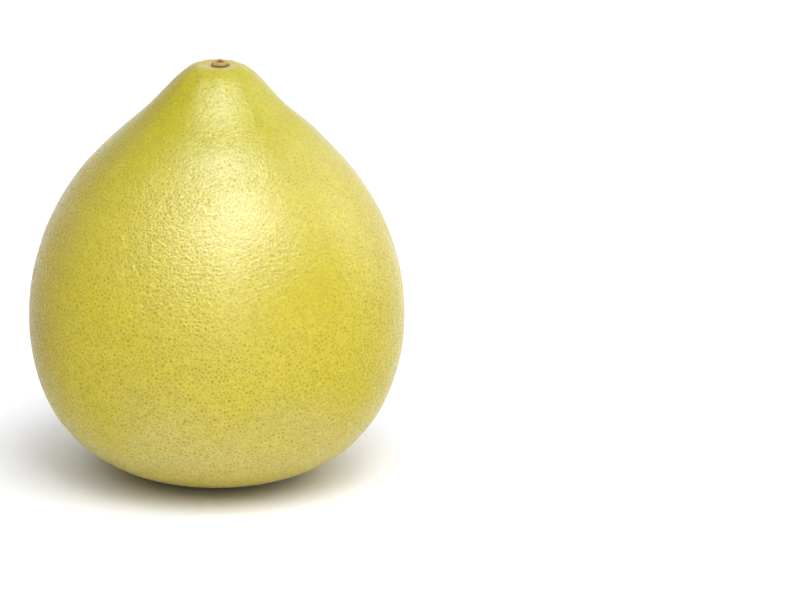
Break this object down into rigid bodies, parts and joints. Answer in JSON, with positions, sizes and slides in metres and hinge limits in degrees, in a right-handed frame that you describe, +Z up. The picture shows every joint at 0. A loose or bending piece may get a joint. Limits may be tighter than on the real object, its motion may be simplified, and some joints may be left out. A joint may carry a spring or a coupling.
{
  "type": "pomelo",
  "caption": "Whole pear-shaped pomelo with a pitted waxy rind, a shallow dip at the stem end with its dry corky button, and a flat spot to rest on.",
  "frame": {"origin": "middle of the underside of the object's box, on the surface that the fruit rests on", "axes": "+Z up the fruit's axis, from the blossom end that it rests on to the stem end; +X to the right and -Y towards the viewer of the picture"},
  "size_m": [0.16, 0.1602, 0.1815],
  "materials": {
    "rind": "leathery citrus rind, yellow with a green cast, waxy satin sheen, covered in fine pits over its oil glands",
    "cork": "dry corky tissue, tan on top and dark brown at its rim, matt"
  },
  "bodies": {
    "root": {"fruit": "rind", "stem_button": "cork"}
  },
  "joints": []
}
